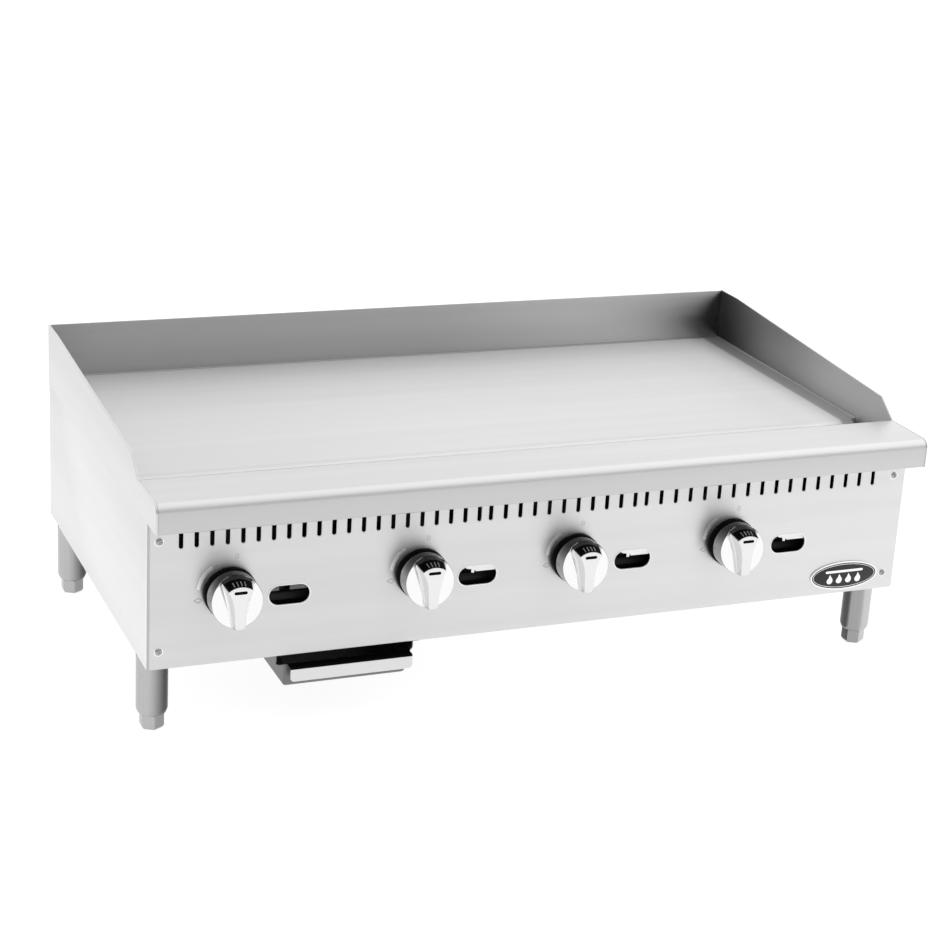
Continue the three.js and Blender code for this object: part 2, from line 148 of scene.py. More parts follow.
def brushed_steel(name, tone, roughness, grain="X", stretch=0.7, spread=0.05, shine=1.0, fades=()):
    """Rolled or ground steel with fine parallel grain, which draws its reflections out across it."""
    material, tree, shader = start_material(name, Metallic=shine, Anisotropic=stretch)
    axis = "XY".index(grain)
    fine = [1600.0] * 3
    fine[axis] = 8.0
    broad = [30.0] * 3
    broad[axis] = 0.8
    lines = stretched_noise(tree, fine, 3.0)
    clouds = stretched_noise(tree, broad, 2.0)
    both = node(tree, "ShaderNodeMath", {0: lines, 1: clouds}, operation="ADD").outputs[0]
    half = node(tree, "ShaderNodeMath", {0: both, 1: 0.5}, operation="MULTIPLY").outputs[0]
    colour = shaded(tree, ranged(tree, half, 0, 1), tone * (1 - spread), tone * (1 + spread))
    for fade in fades:
        colour = faded(tree, colour, *fade)
    tree.links.new(colour, shader.inputs["Base Color"])
    tree.links.new(ranged(tree, lines, roughness * 0.85, roughness * 1.15), shader.inputs["Roughness"])
    normal = node(tree, "ShaderNodeNewGeometry").outputs["Normal"]
    across = node(tree, "ShaderNodeVectorMath",
                  {0: normal, 1: GRAIN[grain]}, operation="CROSS_PRODUCT").outputs[0]
    tree.links.new(across, shader.inputs["Tangent"])
    raised = node(tree, "ShaderNodeBump", {"Height": lines, "Strength": 0.03, "Distance": 0.4 * MM})
    tree.links.new(raised.outputs["Normal"], shader.inputs["Normal"])
    return material


def leg_steel(name, left_inner_tone):
    """Satin tube, painted darker on the side that faces the legs at the other end of the griddle: a painted
    reflection of the shade under the griddle.

    The tone goes by how much the surface faces +X, with one curve for the left legs and one for the right.
    """
    material, tree, shader = start_material(name, Metallic=1.0)
    lines = stretched_noise(tree, (900, 900, 12), 3.0)
    tree.links.new(ranged(tree, lines, 0.26, 0.36), shader.inputs["Roughness"])
    normal = node(tree, "ShaderNodeNewGeometry").outputs["Normal"]
    facing = node(tree, "ShaderNodeSeparateXYZ", {"Vector": normal}).outputs["X"]
    left_tone = eased(tree, facing, -0.6, 0.95, 0.46, left_inner_tone)
    right_inner_tone = eased(tree, facing, -0.93, -0.78, 0.08, 0.34)
    outer_gain = eased(tree, facing, -0.25, 0.05, 1.0, 1.5)
    right_tone = node(tree, "ShaderNodeMath", {0: right_inner_tone, 1: outer_gain},
                      operation="MULTIPLY").outputs[0]
    place = node(tree, "ShaderNodeTexCoord").outputs["Object"]
    across = node(tree, "ShaderNodeSeparateXYZ", {"Vector": place}).outputs["X"]
    on_right = node(tree, "ShaderNodeMath", {0: across, 1: 0.0}, operation="GREATER_THAN").outputs[0]
    tone = node(tree, "ShaderNodeMix", {"Factor": on_right, "A": left_tone, "B": right_tone},
                data_type="FLOAT").outputs["Result"]
    grained = node(tree, "ShaderNodeMath", {0: tone, 1: ranged(tree, lines, 0.94, 1.06)},
                   operation="MULTIPLY").outputs[0]
    colour = node(tree, "ShaderNodeCombineColor", {"Red": grained, "Green": grained, "Blue": grained})
    tree.links.new(colour.outputs["Color"], shader.inputs["Base Color"])
    return material


def galvanised_steel():
    """Zinc-coated sheet with its crystal spangle."""
    material, tree, shader = start_material("galvanised_steel", Metallic=1.0)
    place = node(tree, "ShaderNodeTexCoord").outputs["Object"]
    crystals = node(tree, "ShaderNodeTexVoronoi", {"Vector": place, "Scale": 90.0})
    flake = node(tree, "ShaderNodeSeparateColor", {"Color": crystals.outputs["Color"]}).outputs["Red"]
    tree.links.new(shaded(tree, flake, 0.42, 0.56), shader.inputs["Base Color"])
    tree.links.new(ranged(tree, flake, 0.38, 0.55), shader.inputs["Roughness"])
    return material


def cast_iron():
    material, tree, shader = start_material("burner_iron", Metallic=0.6)
    cast = stretched_noise(tree, (220, 220, 220), 6.0)
    heat = stretched_noise(tree, (14, 14, 14), 2.0)
    black = (0.035, 0.034, 0.035, 1)
    rusty = (0.075, 0.062, 0.055, 1)
    tree.links.new(mixed(tree, ranged(tree, heat, 0, 1), black, rusty), shader.inputs["Base Color"])
    tree.links.new(ranged(tree, cast, 0.6, 0.85), shader.inputs["Roughness"])
    raised = node(tree, "ShaderNodeBump", {"Height": cast, "Strength": 0.5, "Distance": 0.6 * MM})
    tree.links.new(raised.outputs["Normal"], shader.inputs["Normal"])
    return material


def brass():
    material, tree, shader = start_material("gas_brass", Metallic=1.0)
    stain = stretched_noise(tree, (60, 60, 60), 4.0)
    stained = (0.50, 0.36, 0.15, 1)
    clean = (0.66, 0.50, 0.25, 1)
    tree.links.new(mixed(tree, ranged(tree, stain, 0, 1), stained, clean), shader.inputs["Base Color"])
    tree.links.new(ranged(tree, stain, 0.25, 0.42), shader.inputs["Roughness"])
    return material


def plated(name, tone, low, high, fades=()):
    """Bright plating with a faint unevenness in its polish."""
    material, tree, shader = start_material(name, Metallic=1.0)
    wear = stretched_noise(tree, (160, 160, 160), 3.0)
    colour = shaded(tree, ranged(tree, wear, 0, 1), tone * 0.97, tone)
    for fade in fades:
        colour = faded(tree, colour, *fade)
    tree.links.new(colour, shader.inputs["Base Color"])
    tree.links.new(ranged(tree, wear, low, high), shader.inputs["Roughness"])
    return material


def enamel(name, tone, low, high, coat=0.0, shine=0.5):
    """Paint, enamel or moulded plastic with a slightly uneven gloss."""
    material, tree, shader = start_material(name, Coat_Weight=coat, Specular_IOR_Level=shine)
    skin = stretched_noise(tree, (300, 300, 300), 3.0)
    tree.links.new(shaded(tree, skin, tone * 0.8, tone * 1.2), shader.inputs["Base Color"])
    tree.links.new(ranged(tree, skin, low, high), shader.inputs["Roughness"])
    return material


# Each fade is an axis, where it starts and ends on it, and the factors there. The fades are painted light
# and shade: the steel is painted darker near the rear right corner, where shade and dark reflections gather,
# and painted brighter where it is bent or lies open to the light. The different tones of one steel on
# different sides are painted light and shade too.
# Painted light on the plate: darker towards the left and the rear, lighter near the right edge, a painted
# highlight on the front chamfer, and a dark strip along the right splash that is a painted reflection of it.
PLATE = brushed_steel("plate_steel", 0.77, 0.45, "X", stretch=0.9, spread=0.04, shine=0.35,
                      fades=[("X", plate_low.x, 0, 0.92, 1.0),
                             ("X", plate_high.x - 120 * MM, plate_high.x - 36 * MM, 1.0, 1.15),
                             ("X", plate_high.x - 34 * MM, plate_high.x - 26 * MM, 1.0, 0.50),
                             ("Y", 0, plate_high.y, 1.0, 0.86),
                             ("Y", plate_low.y, plate_low.y + 8 * MM, 1.2, 1.0)])
# The splashes' steel comes in three tones, lightest on the left and darkest on the right, as painted light
# and shade. The rear splash is painted lighter towards the right and the left splash darker towards its top.
# The right splash is lighter at its front and painted almost black towards the rear right corner, as painted
# shade.
SPLASH_ACROSS = brushed_steel("splash_steel_across", 0.51, 0.36, "X", stretch=0.95,
                              fades=[("X", 0, 500 * MM, 1.0, 1.40)])
SPLASH_LEFT = brushed_steel("splash_steel_left", 0.68, 0.38, "Y", stretch=0.7,
                            fades=[("Z", rail_low.z, splash_top, 1.0, 0.90)])
SPLASH_RIGHT = brushed_steel("splash_steel_right", 0.40, 0.34, "Y", stretch=0.95,
                             fades=[("Y", 110 * MM, plate_high.y, 1.0, 0.11),
                                    ("Y", -100 * MM, 140 * MM, 1.40, 0.84)])
# The body's steel comes in three tones, lighter on the left side and darker on the right side, as painted
# light and shade. The left side is also painted darker towards its top and lighter along its front edge, as a
# painted highlight.
BODY_ACROSS = brushed_steel("body_steel_across", 0.72, 0.36, "X", stretch=0.75)
BODY_ALONG = brushed_steel("body_steel_along", 0.77, 0.40, "Y", stretch=0.5,
                           fades=[("Z", 180 * MM, panel_high.z, 1.0, 0.94),
                                  ("Y", panel_face + 5 * MM, panel_face + 12 * MM, 1.06, 1.0)])
BODY_RIGHT = brushed_steel("body_steel_right", 0.58, 0.40, "Y", stretch=0.5)
# Painted light on the control panel: lighter towards the right, with a thin painted shade along its left
# edge.
PANEL = brushed_steel("panel_steel", 0.70, 0.36, "X", stretch=0.75,
                      fades=[("X", panel_low.x, panel_high.x, 0.96, 1.06),
                             ("X", panel_low.x + 2 * MM, panel_low.x + 5 * MM, 0.72, 1.0)])
# Painted light on the rail: lighter towards the right, its front face a little darker, and a painted
# highlight along its nose, with the last millimetres of the top a little darker again.
RAIL = brushed_steel("rail_steel", 0.61, 0.36, "X", stretch=0.75,
                     fades=[("X", panel_low.x, panel_high.x, 0.97, 1.04),
                            ("Z", rail_high.z - 12 * MM, rail_high.z - 7 * MM, 0.94, 1.24),
                            ("Z", rail_high.z - 1.5 * MM, rail_high.z - 0.1 * MM, 1.0, 0.88)])
DRAWER = brushed_steel("drawer_steel", 0.71, 0.34, "X", stretch=0.6)
# Tray and runner steel is painted dark, as painted shade: they lie in the shadow under the control panel.
TRAY = brushed_steel("tray_steel", 0.20, 0.42, "Y", stretch=0.5)
WELD = brushed_steel("weld_steel", 0.36, 0.45, "X", stretch=0.3, spread=0.10)
# Both leg materials paint the legs' and feet's inner sides dark, as painted shade.
LEG = leg_steel("leg_steel", 0.015)
FOOT = leg_steel("foot_steel", 0.25)
ZINC = galvanised_steel()
SOOTY = plated("sooty_zinc", 0.16, 0.5, 0.7)
PIPE = plated("black_pipe", 0.10, 0.45, 0.60)
IRON = cast_iron()
BRASS = brass()
CHROME = plated("knob_metal", 0.83, 0.10, 0.18)
# The knob's wall is painted dark, and darker towards its top: a painted reflection of the shade round the
# knob.
KNOB_WALL = plated("knob_wall_metal", 0.38, 0.12, 0.22,
                   fades=[("Z", knob_centres[0].z + 4 * MM, knob_centres[0].z + 34 * MM, 1.0, 0.14)])
SCREW = plated("screw_steel", 0.42, 0.18, 0.30)
BLACK = enamel("black_plastic", 0.003, 0.35, 0.5, shine=0.02)
BADGE = enamel("badge_enamel", 0.02, 0.2, 0.3, coat=0.15, shine=0.3)
# Painted shade and painted reflection on the knob caps: the grip bar's sides, the grip's front and the
# crown's hollow are darker copies of the plating.
BAR_SIDE_SHADE = plated("knob_bar_side_painted_shade", 0.76, 0.28, 0.38)
GRIP_TOP = plated("grip_top_metal", 0.76, 0.22, 0.32)
RIB = plated("rib_metal", 0.45, 0.28, 0.38)
HOLLOW_SHADE = plated("knob_hollow_painted_shade", 0.08, 0.25, 0.40)
LIP = plated("slot_lip_metal", 0.90, 0.25, 0.35)
BRACKET = plated("bracket_zinc", 0.80, 0.35, 0.50)
LIGHT_TRIM = plated("light_trim", 0.95, 0.30, 0.40)
PRINT = enamel("grey_print", 0.42, 0.5, 0.6)
WHITE_PRINT = plated("white_print", 0.97, 0.35, 0.45)

NODE_MATERIALS = dict.fromkeys(["gas_manifold", "grease_chute"] + [f"pilot_{n}" for n in range(1, 5)], PIPE)
NODE_MATERIALS["front_heat_shield"] = SOOTY
SLOT_MATERIALS = {
    "cooking_plate": PLATE,
    "splash_steel": SPLASH_ACROSS,
    "body_steel": BODY_ACROSS,
    "galvanised_steel": ZINC,
    "burner_iron": IRON,
    "gas_brass": BRASS,
    "knob_metal": CHROME,
    "badge_enamel": BADGE,
    "screw_steel": SCREW,
    "leg_steel": LEG,
}
NODE_SLOTS = {part["node"]: part["material_slot"] for part in frame["record"]["subparts"]}


def dress_cad_nodes():
    for name, thing in frame["nodes"].items():
        material = NODE_MATERIALS.get(name, SLOT_MATERIALS[NODE_SLOTS[name]])
        for place in range(len(thing.data.materials)):
            thing.data.materials[place] = material


# ---------- mesh helpers

def arc(centre_a, centre_b, radius, start, end, steps):
    """Points on an arc, in degrees, from start to end."""
    angles = [math.radians(start + (end - start) * i / steps) for i in range(steps + 1)]
    return [(centre_a + radius * math.cos(t), centre_b + radius * math.sin(t)) for t in angles]


def anticlockwise(points):
    pairs = zip(points, points[1:] + points[:1])
    area = sum(a[0] * b[1] - b[0] * a[1] for a, b in pairs)
    return points if area > 0 else points[::-1]


def grown(points, amount):
    """An anticlockwise outline moved outwards by amount, with mitred corners."""
    moved = []
    for i, here in enumerate(points):
        before = Vector(points[i - 1])
        after = Vector(points[(i + 1) % len(points)])
        here = Vector(here)
        first = (here - before).normalized()
        second = (after - here).normalized()
        normal = Vector((first.y + second.y, -first.x - second.x))
        scale = 2 / max(normal.length_squared, 0.5)
        moved.append(tuple(here + normal * amount * scale))
    return moved


def stadium(low, high, steps=10):
    """A slot with round ends, or a circle where the box is square."""
    (a0, b0), (a1, b1) = low, high
    radius = min(a1 - a0, b1 - b0) / 2
    if a1 - a0 > b1 - b0:
        b = (b0 + b1) / 2
        return (arc(a1 - radius, b, radius, -90, 90, steps)
                + arc(a0 + radius, b, radius, 90, 270, steps))
    a = (a0 + a1) / 2
    return arc(a, b1 - radius, radius, 0, 180, steps) + arc(a, b0 + radius, radius, 180, 360, steps)


def thinned(points):
    """The outline without points that repeat."""
    kept = []
    for point in points:
        if not kept or (Vector(point) - Vector(kept[-1])).length > 1e-6:
            kept.append(point)
    if (Vector(kept[0]) - Vector(kept[-1])).length < 1e-6:
        kept.pop()
    return kept


def loft(bm, rings):
    """Quads between rings of points; each ring has the same number. Gives back the rings' vertices."""
    made = [[bm.verts.new(point) for point in ring] for ring in rings]
    for near, far in zip(made, made[1:]):
        for i in range(len(near)):
            j = (i + 1) % len(near)
            bm.faces.new((near[i], near[j], far[j], far[i]))
    return made


def fill(bm, rings):
    """Closes a flat face bounded by the first ring, with the others as its holes."""
    edges = [bm.edges.get((ring[i - 1], ring[i])) for ring in rings for i in range(len(ring))]
    bmesh.ops.triangle_fill(bm, use_beauty=True, edges=edges)


PLANES = {
    "X": lambda a, b, depth: Vector((depth, a, b)),
    "Y": lambda a, b, depth: Vector((a, depth, b)),
    "Z": lambda a, b, depth: Vector((a, b, depth)),
}


def sheet(bm, outline, holes, axis, near, far, edge):
    """A flat sheet across an axis, with holes and eased edges."""
    place = PLANES[axis]
    rims = []
    for points, outwards in [(outline, -1)] + [(hole, 1) for hole in holes]:
        points = anticlockwise(thinned(points))
        pulled = grown(points, outwards * edge)
        levels = [(pulled, near), (points, near + edge), (points, far - edge), (pulled, far)]
        rims.append(loft(bm, [[place(a, b, depth) for a, b in line] for line, depth in levels]))
    fill(bm, [rim[0] for rim in rims])
    fill(bm, [rim[-1] for rim in rims])


def turned(bm, profile, place, steps):
    """A turned solid: (radius, height) pairs, about a line that place(a, b, height) puts in the frame."""
    rings = []
    for radius, height in profile:
        circle = arc(0, 0, radius, 0, 360, steps)[:-1] if radius else [(0, 0)]
        rings.append([bm.verts.new(place(a, b, height)) for a, b in circle])
    for near, far in zip(rings, rings[1:]):
        for i in range(steps):
            j = (i + 1) % steps
            corners = [near[i % len(near)], near[j % len(near)], far[j % len(far)], far[i % len(far)]]
            unique = list(dict.fromkeys(corners))
            if len(unique) > 2:
                bm.faces.new(unique)


def forward_of(x, z, y):
    """Places heights towards the operator from the point (x, y, z)."""
    return lambda a, b, height: Vector((x + a, y - height, z + b))


def above(x, y):
    """Places heights upwards from the counter."""
    return lambda a, b, height: Vector((x + a, y + b, height))


def box_into(bm, low, high, edge=0.0):
    """A block between two corners, with eased edges."""
    made = bmesh.ops.create_cube(bm, size=1.0)["verts"]
    for vert in made:
        vert.co = Vector(low[k] + (high[k] - low[k]) * (vert.co[k] + 0.5) for k in range(3))
    if edge:
        edges = list({e for vert in made for e in vert.link_edges})
        bmesh.ops.bevel(bm, geom=edges, offset=edge, segments=2, profile=0.5, affect="EDGES")


def pour(bm, other):
    """Moves what is in another bmesh into bm."""
    mesh = bpy.data.meshes.new("poured")
    other.to_mesh(mesh)
    other.free()
    bm.from_mesh(mesh)
    bpy.data.meshes.remove(mesh)


def smooth(bm, crease):
    """Shades the faces smooth, but for the edges that turn by more than the crease angle."""
    for face in bm.faces:
        face.smooth = True
    for edge in bm.edges:
        edge.smooth = len(edge.link_faces) == 2 and edge.calc_face_angle() < math.radians(crease)


def piece(name, bm, material, body=BODY, replaces=(), crease=35):
    """A named piece on a body. Where it replaces a CAD node, that node is hidden."""
    bmesh.ops.recalc_face_normals(bm, faces=bm.faces)
    smooth(bm, crease)
    mesh = bpy.data.meshes.new(name)
    bm.to_mesh(mesh)
    bm.free()
    mesh.materials.append(material)
    made = bpy.data.objects.new(name, mesh)
    bpy.context.scene.collection.objects.link(made)
    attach(made, body)
    if replaces:
        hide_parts(*replaces)
    return made


def outlines(node_name, axis, level):
    """The closed outlines of a CAD node's flat face at a level along an axis, the longest first."""
    k = "XYZ".index(axis)
    kept = [n for n in range(3) if n != k]
    mesh = frame["nodes"][node_name].data
    sides = {}
    for polygon in mesh.polygons:
        points = [mesh.vertices[v].co for v in polygon.vertices]
        if all(abs(p[k] - level) < 1e-4 for p in points):
            keys = [tuple(round(p[n], 6) for n in kept) for p in points]
            for i, key in enumerate(keys):
                side = frozenset((keys[i - 1], key))
                sides[side] = sides.get(side, 0) + 1
    linked = {}
    for side, count in sides.items():
        if count == 1:
            a, b = side
            linked.setdefault(a, []).append(b)
            linked.setdefault(b, []).append(a)
    loops = []
    while linked:
        start = min(linked)
        loop = [start]
        here, came = linked[start][0], start
        while here != start:
            loop.append(here)
            ahead = [p for p in linked[here] if p != came]
            here, came = ahead[0], here
        for point in loop:
            linked.pop(point)
        loops.append(loop)
    return sorted(loops, key=lambda loop: -sum((Vector(a) - Vector(b)).length
                                               for a, b in zip(loop, loop[1:] + loop[:1])))


def box_of(points):
    return [tuple(pick(p[k] for p in points) for k in (0, 1)) for pick in (min, max)]


# ---------- sheet-metal pieces

def sheet_from_node(node_name, axis, edge):
    """A CAD sheet drawn again with eased edges and, where it has them, truly round holes."""
    low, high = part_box(node_name)
    k = "XYZ".index(axis)
    outline, *holes = outlines(node_name, axis, low[k])
    holes = [stadium(*box_of(hole)) if len(hole) > 4 else hole for hole in holes]
    bm = bmesh.new()
    sheet(bm, outline, holes, axis, low[k], high[k], edge)
    return bm


def rounded_box(low, high, edge):
    bm = bmesh.new()
    box_into(bm, low, high, edge)
    return bm


def make_control_panel():
    """The control panel's sheet, with a flange turned back along its foot."""
    thickness = 2 * MM
    outline, *holes = outlines("control_panel", "Y", panel_face)
    holes = [stadium(*box_of(hole)) for hole in holes]
    bm = bmesh.new()
    sheet(bm, outline, holes, "Y", panel_face, panel_face + thickness, 0.7 * MM)
    inset = 2.5 * MM
    box_into(bm, (panel_low.x + inset, panel_face + thickness / 2, panel_low.z),
             (panel_high.x - inset, panel_high.y, panel_low.z + thickness))
    piece("control_panel_sheet", bm, PANEL, replaces=["control_panel"])


def make_rail():
    """The folded front rail: a lip in the gutter, a flat top, a round nose and a return under it."""
    thickness = 1.5 * MM
    nose = 14 * MM
    bend = 2 * MM
    lip = 40 * MM
    rear, front, top, low = rail_high.y, rail_low.y, rail_high.z, rail_low.z
    inner_end = panel_face + thickness

    def line(inside):
        return ([(rear - inside, top - lip)]
                + arc(rear - bend, top - bend, bend - inside, 0, 90, 5)
                + arc(front + nose, top - nose, nose - inside, 90, 180, 14)
                + arc(front + bend, low + bend, bend - inside, 180, 270, 5)
                + [(inner_end, low + inside)])

    end = rail_high.x + 0.25 * MM
    bm = bmesh.new()
    sheet(bm, line(0) + line(thickness)[::-1], [], "X", -end, end, 0.1 * MM)
    piece("front_rail_sheet", bm, RAIL, replaces=["front_rail"], crease=25)


def face_outwards(thing, outwards, material):
    """Gives the faces on one side of a sheet their own material; the two sides' steels differ in painted
    light and shade.
    """
    thing.data.materials.append(material)
    for face in thing.data.polygons:
        if face.normal.dot(outwards) > 0.5:
            face.material_index = 1


def make_sheets():
    for side, steel, outer in (("left", SPLASH_LEFT, BODY_ALONG), ("right", SPLASH_RIGHT, BODY_RIGHT)):
        splash = piece(f"{side}_splash_sheet", sheet_from_node(f"{side}_splash", "X", 0.4 * MM), steel,
                       replaces=[f"{side}_splash"], crease=25)
        if side == "right":
            face_outwards(splash, Vector((1, 0, 0)), outer)
        piece(f"{side}_panel_sheet", rounded_box(*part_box(f"{side}_side_panel"), 0.5 * MM),
              outer, replaces=[f"{side}_side_panel"])
    splash = piece("rear_splash_sheet", rounded_box(*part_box("rear_splash"), 0.7 * MM),
                   SPLASH_ACROSS, replaces=["rear_splash"])
    face_outwards(splash, Vector((0, 1, 0)), BODY_ACROSS)
    for name, axis in (("rear_panel", "Y"), ("bottom_pan", "Z")):
        piece(f"{name}_sheet", sheet_from_node(name, axis, 0.4 * MM), ZINC, replaces=[name])


PLATE_NOTCH = Vector((9, 11)) * MM      # cut out of the plate's front corners


def make_plate():
    """The cooking plate, with a chamfer along its front and a notch in each front corner."""
    chamfer = Vector((8, 4.5)) * MM
    outline = [(plate_low.y, plate_low.z), (plate_high.y, plate_low.z), (plate_high.y, plate_high.z),
               (plate_low.y + chamfer.x, plate_high.z), (plate_low.y, plate_high.z - chamfer.y)]
    bm = bmesh.new()
    sheet(bm, outline, [], "X", plate_low.x, plate_high.x, 0.3 * MM)
    plate = piece("griddle_plate_block", bm, PLATE, replaces=["griddle_plate"])
    past = 5 * MM
    for side in (-1, 1):
        x0, x1 = sorted((side * (plate_high.x - PLATE_NOTCH.x), side * (plate_high.x + past)))
        take_away(plate, rounded_box((x0, plate_low.y - past, plate_low.z - past),
                                     (x1, plate_low.y + PLATE_NOTCH.y, plate_high.z + past), 0))


def make_weld():
    """The ground bead that joins the plate to the splashes: a cove along the two sides and the rear."""
    bead = 2.5 * MM
    wall_x = plate_high.x + 0.2 * MM
    wall_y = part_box("rear_splash")[0].y
    front = plate_low.y + PLATE_NOTCH.y
    cove = [(0, 0)] + [(bead - b, bead - a) for a, b in arc(0, 0, bead, 0, 90, 5)]
    path = [(-wall_x, front), (-wall_x, wall_y), (wall_x, wall_y), (wall_x, front)]
    inwards = [(1, 0), (1, -1), (-1, -1), (-1, 0)]
    rings = []
    for (x, y), (dx, dy) in zip(path, inwards):
        rings.append([Vector((x + dx * out, y + dy * out, plate_high.z + up)) for out, up in cove])
    bm = bmesh.new()
    made = loft(bm, rings)
    bm.faces.new(made[0])
    bm.faces.new(made[-1])
    piece("plate_weld", bm, WELD)


# ---------- knobs

# Depths are measured from the control panel, outwards.
SKIRT_DEPTH = 12.5 * MM
CROWN_DEPTH = 27 * MM            # the sloping top starts here on the rim
FACET_DEPTH = 38 * MM            # the two cut-away sides, half way up
FACET_SLOPE = 0.15               # they lean forward towards the foot
CROWN_RADIUS = 37.3 * MM         # from the knob's middle to the sloping top, where it starts
CROWN_FALL = 9 * MM              # how much nearer to the middle the top ends, on the knob's front
# Half of the grip bar's outline, in millimetres, from its foot to its head: on its front and at its base.
GRIP_FRONT = [(7, -46), (7.2, -30), (7.8, -14), (8.8, -1), (11.8, 11), (17, 21), (25, 33), (36, 46)]
GRIP_BASE = [(7, -46), (8.2, -30), (10, -14), (12, -1), (15, 11), (18.8, 21), (24, 33), (32, 46)]


def smooth_line(points, steps=6):
    """A Catmull-Rom curve through points in millimetres, given back in metres."""
    ends = [points[0]] + points + [points[-1]]
    curve = []
    for a, b, c, d in zip(ends, ends[1:], ends[2:], ends[3:]):
        for i in range(steps):
            t = i / steps
            curve.append(tuple(
                MM * 0.5 * (2 * q + (r - p) * t + (2 * p - 5 * q + 4 * r - s) * t ** 2
                            + (3 * q - p - 3 * r + s) * t ** 3)
                for p, q, r, s in zip(a, b, c, d)))
    curve.append((points[-1][0] * MM, points[-1][1] * MM))
    return curve


def prism(place, sections, lean=0.0):
    """A closed solid between rings, given as (outline, height) pairs; lean tilts the first one."""
    bm = bmesh.new()
    rings = []
    for outline, height in sections:
        rings.append([place(a, b, height - lean * b) for a, b in outline])
        lean = 0.0
    rings = loft(bm, rings)
    bm.faces.new(rings[0])
    bm.faces.new(rings[-1])
    return bm


def take_away(thing, tool_bm):
    """Cuts a solid out of a piece."""
    bmesh.ops.recalc_face_normals(tool_bm, faces=tool_bm.faces)
    mesh = bpy.data.meshes.new("tool")
    tool_bm.to_mesh(mesh)
    tool_bm.free()
    tool = bpy.data.objects.new("tool", mesh)
    bpy.context.scene.collection.objects.link(tool)
    change = thing.modifiers.new("cut", "BOOLEAN")
    change.operation = "DIFFERENCE"
    change.object = tool
    change.solver = "EXACT"
    apply_modifiers(thing)
    bpy.data.objects.remove(tool)
    bpy.data.meshes.remove(mesh)


def apply_modifiers(thing):
    evaluated = thing.evaluated_get(bpy.context.evaluated_depsgraph_get())
    mesh = bpy.data.meshes.new_from_object(evaluated)
    old = thing.data
    thing.modifiers.clear()
    thing.data = mesh
    bpy.data.meshes.remove(old)


def ease_edges(thing, width, crease, angle=32):
    """Bevels the edges that turn by more than the angle, and shades the rest smooth."""
    merge = thing.modifiers.new("merge", "WELD")
    merge.merge_threshold = 0.15 * MM
    bevel = thing.modifiers.new("edges", "BEVEL")
    bevel.width = width
    bevel.segments = 3
    bevel.limit_method = "ANGLE"
    bevel.angle_limit = math.radians(angle)
    bevel.use_clamp_overlap = False
    apply_modifiers(thing)
    bm = bmesh.new()
    bm.from_mesh(thing.data)
    bmesh.ops.remove_doubles(bm, verts=bm.verts, dist=0.03 * MM)
    smooth(bm, crease)
    bm.to_mesh(thing.data)
    bm.free()


def crown_radius(depth, full):
    """How far the sloping top is from the knob's middle, at a depth; full is the knob's whole depth."""
    return CROWN_RADIUS - CROWN_FALL * (depth - CROWN_DEPTH) / (full - CROWN_DEPTH)


def crown_patch(place, full, angles, depths, lift):
    """A thin solid that lies on the knob's sloping top."""
    start, end = angles
    sections = []
    for depth in depths:
        radius = crown_radius(depth, full)
        ring = (arc(0, 0, radius + lift, start, end, 10)
                + arc(0, 0, radius - 1 * MM, end, start, 10))
        sections.append((ring, depth))
    return prism(place, sections)


def cut_grip(cap, place, full):
    """Cuts the two facets beside the grip bar, and the sloping hollow in the crown."""
    far = 90 * MM
    overshoot = full + 2 * MM
    for side in (-1, 1):
        sections = []
        for points, depth in ((GRIP_BASE, FACET_DEPTH), (GRIP_FRONT, overshoot)):
            line = smooth_line(points)
            outline = [(side * a, b) for a, b in line]
            outline += [(side * far, line[-1][1]), (side * far, line[0][1])]
            sections.append((outline, depth))
        take_away(cap, prism(place, sections, FACET_SLOPE))

    sections = []
    for share in (0, 0.1, 0.25, 0.45, 0.7, 1):
        depth = CROWN_DEPTH + share * (overshoot - CROWN_DEPTH)
        spread = 12 + 46 * min(1, share / 0.45) ** 0.5
        inner = arc(0, 0, crown_radius(depth, full), 90 - spread, 90 + spread, 20)
        sections.append((inner + arc(0, 0, far, 90 + spread, 90 - spread, 20), depth))
    take_away(cap, prism(place, sections))
    ease_edges(cap, 0.8 * MM, crease=14)


def shade_cap(cap, centre, radius, low, high):
    """Gives the cap's wall, front, hollow and the grip bar's sides darker copies of the plating, as painted
    shade and painted reflection.
    """
    for shading in (BAR_SIDE_SHADE, GRIP_TOP, HOLLOW_SHADE, KNOB_WALL):
        cap.data.materials.append(shading)
    bar_side, front, hollow, wall = range(1, 5)
    for face in cap.data.polygons:
        from_axis = math.hypot(face.center.x - centre.x, face.center.z - centre.z)
        if face.center.y < low.y + 0.3 * MM:
            face.material_index = front
        elif from_axis > radius - 0.6 * MM:
            face.material_index = wall
        elif from_axis < radius - 0.4 * MM and face.normal.z > 0.6:
            face.material_index = hollow
        elif from_axis < radius - 0.4 * MM and abs(face.normal.x) > 0.5:
            face.material_index = bar_side


def mark_crown(n, place, full):
    """The black inlay in the crown's hollow, its four ribs, and the black pointer on the grip bar."""
    body = f"control_{n}"
    start, end = FACET_DEPTH - 1 * MM, full - 1.2 * MM
    piece(f"knob_{n}_inlay", crown_patch(place, full, (55, 125), (start, end), 0.15 * MM),
          BLACK, body)
    bm = bmesh.new()
    for angle in (76, 86, 96, 106):
        pour(bm, crown_patch(place, full, (angle - 1.5, angle + 1.5), (start + 6 * MM, end - 2 * MM),
                             0.8 * MM))
    piece(f"knob_{n}_ribs", bm, RIB, body)
    pointer = stadium((-9.5 * MM, 17.6 * MM), (9.5 * MM, 22.2 * MM), 6)
    piece(f"knob_{n}_pointer", prism(place, [(pointer, full - 0.5 * MM), (pointer, full + 0.08 * MM)]),
          BLACK, body)


